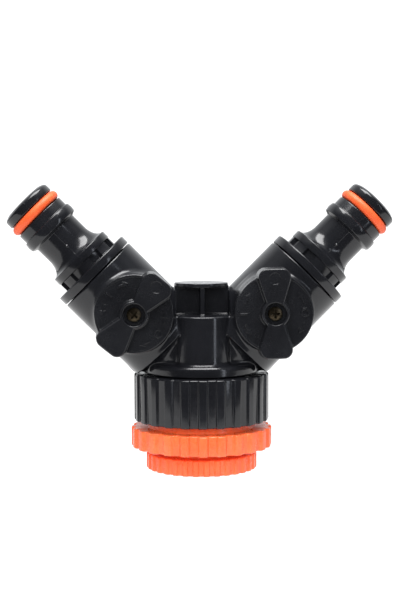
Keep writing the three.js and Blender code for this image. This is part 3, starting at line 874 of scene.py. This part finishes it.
def retaining_ring():
    def field(x, y, z):
        ring = both(cylinder(x, y, z, 16.2, 24.9, 26.1, 0.2), 12.1 - np.hypot(x, y), 0.15)
        return both(ring, np.where(y > 0, 1.2 - np.abs(x), -1.0))

    points, faces, normals = surface_of(field, (-16.8, -16.8, 24.5), (16.8, 16.8, 26.5), 0.25)
    make_piece("split_retaining_ring", points, faces, black_plastic, "manifold",
               ["nut_retaining_ring"], normals=normals)


# ================================================================ build
manifold()
retaining_ring()
swivel_nut()
reducer("large_thread_reducer", "large_adapter", "large_reducer",
        rim=(21.25, 6.7, 12.6), male=(16.5, 14.9, 21.4), socket=(13.5, 17.4), bore=9.5,
        count=RIB_COUNT, phase=RIB_PHASE, depth=1.0, pitches=(G1_PITCH, G34_PITCH))
reducer("small_thread_reducer", "small_adapter", "small_reducer",
        rim=(16.75, 0, 4.8), male=(13.15, 7.2, 14.9), socket=(10.55, 9.5), bore=7,
        count=SMALL_RIB_COUNT, phase=SMALL_RIB_PHASE, depth=0.6, pitches=(G34_PITCH, G34_PITCH))
washer("nut_flat_washer", "nut_washer", "nut_seal", outer=15.5, inner=10.2, low=21.7, high=23.6)
washer("large_flat_washer", "large_adapter_washer", "reducer_seal", outer=12.4, inner=8, low=15.2, high=17.1)
washer("small_flat_washer", "small_adapter_washer", "small_reducer", outer=10.2, inner=6.5, low=7.4, high=9.2)
nipples()
valves()
seats()

# ================================================================ stage, light and camera
scene = bpy.context.scene


def floor():
    """A plain pale floor, evenly lit from within like a light table."""
    mesh = bpy.data.meshes.new("floor")
    corners = [(x, y, FLOOR_Z) for x, y in ((-0.5, -0.12), (0.5, -0.12), (0.5, 0.5), (-0.5, 0.5))]
    mesh.from_pydata(corners, [], [(0, 1, 2, 3)])
    n = Nodes("pale_floor")
    clouds = n.ramp(n.noise(4, 2), [(0.3, (0.13, 0.13, 0.13)), (0.7, (0.15, 0.15, 0.15))])
    n.link(clouds, n.shader.inputs["Base Color"])
    n.set(Roughness=0.9, Specular_IOR_Level=0.1)
    n.set(Emission_Color=(1, 1, 1, 1), Emission_Strength=0.98)
    mesh.materials.append(n.material)
    made = bpy.data.objects.new("floor", mesh)
    scene.collection.objects.link(made)


def world():
    """A white room for the camera, and a softly graded light tent for everything else."""
    made = bpy.data.worlds.new("studio")
    scene.world = made
    made.use_nodes = True
    tree = made.node_tree
    nodes, links = tree.nodes, tree.links
    nodes.clear()
    out = nodes.new("ShaderNodeOutputWorld")
    coord = nodes.new("ShaderNodeTexCoord")
    split = nodes.new("ShaderNodeSeparateXYZ")
    links.new(coord.outputs["Generated"], split.inputs[0])

    def graded(axis, low, high):
        node = nodes.new("ShaderNodeMapRange")
        node.interpolation_type = "SMOOTHSTEP"
        node.inputs["From Min"].default_value = low
        node.inputs["From Max"].default_value = high
        links.new(split.outputs[axis], node.inputs["Value"])
        return node.outputs["Result"]

    def combined(operation, a, b):
        node = nodes.new("ShaderNodeMath")
        node.operation = operation
        for socket, value in zip(node.inputs, (a, b)):
            if isinstance(value, float):
                socket.default_value = value
            else:
                links.new(value, socket)
        return node.outputs["Value"]

    # dark in front and below, bright behind and above
    around = combined("MULTIPLY", graded("Y", -0.05, 0.8), graded("Z", -0.2, 0.1))
    bright = combined("MAXIMUM", around, graded("Z", 0.6, 0.98))
    strength = combined("ADD", bright, 0.05)
    tent = nodes.new("ShaderNodeBackground")
    tent.inputs["Color"].default_value = (0.96, 0.98, 1.0, 1)
    links.new(strength, tent.inputs["Strength"])
    white = nodes.new("ShaderNodeBackground")
    white.inputs["Color"].default_value = (1, 1, 1, 1)
    white.inputs["Strength"].default_value = 1.3
    path = nodes.new("ShaderNodeLightPath")
    mix = nodes.new("ShaderNodeMixShader")
    links.new(path.outputs["Is Camera Ray"], mix.inputs["Fac"])
    links.new(tent.outputs[0], mix.inputs[1])
    links.new(white.outputs[0], mix.inputs[2])
    links.new(mix.outputs[0], out.inputs["Surface"])


def soft_light(name, place, target, size, power, colour=(1, 1, 1), glossy=True):
    data = bpy.data.lights.new(name, "AREA")
    data.shape = "RECTANGLE"
    data.size, data.size_y = size
    data.energy = power
    data.color = colour
    lamp = bpy.data.objects.new(name, data)
    lamp.visible_glossy = glossy
    lamp.visible_camera = False
    scene.collection.objects.link(lamp)
    lamp.location = place
    away = np.array(place) - np.array(target)
    lamp.rotation_mode = "QUATERNION"
    lamp.rotation_quaternion = Vector(away).to_track_quat("Z", "Y")


def camera():
    """A long lens, slightly above the splitter and slightly to its left."""
    data = bpy.data.cameras.new("camera")
    data.sensor_width = 36
    data.lens = 74.875
    data.clip_start, data.clip_end = 0.01, 20
    made = bpy.data.objects.new("camera", data)
    scene.collection.objects.link(made)
    azimuth, distance, height, aside = math.radians(-3.12), 0.3772, 0.0776, -0.0002
    pitch, roll = math.radians(4.187), math.radians(-0.167)
    across, ahead = math.cos(azimuth), math.sin(azimuth)
    made.location = (distance * ahead + aside * across, -distance * across + aside * ahead, height)
    look = Matrix.Rotation(azimuth, 3, "Z") @ Matrix.Rotation(math.pi / 2 - pitch, 3, "X")
    look = look @ Matrix.Rotation(roll, 3, "Z")
    made.rotation_mode = "QUATERNION"
    made.rotation_quaternion = look.to_quaternion()
    data.shift_y = 0.00383
    scene.camera = made


floor()
world()
soft_light("right_strip", (0.56, -0.6, 0.2), (0, 0, 0.05), (0.08, 0.7), 0.7, (0.84, 0.9, 1))
soft_light("overhead", (0.0, -0.12, 0.75), (0, 0, 0.05), (0.6, 0.45), 9.0)
soft_light("front_fill", (-0.2, -1.1, 0.45), (0, 0, 0.05), (1.2, 0.9), 16.0, glossy=False)
camera()
scene.view_settings.view_transform = "Standard"
scene.view_settings.look = "None"
scene.view_settings.exposure = 0.0
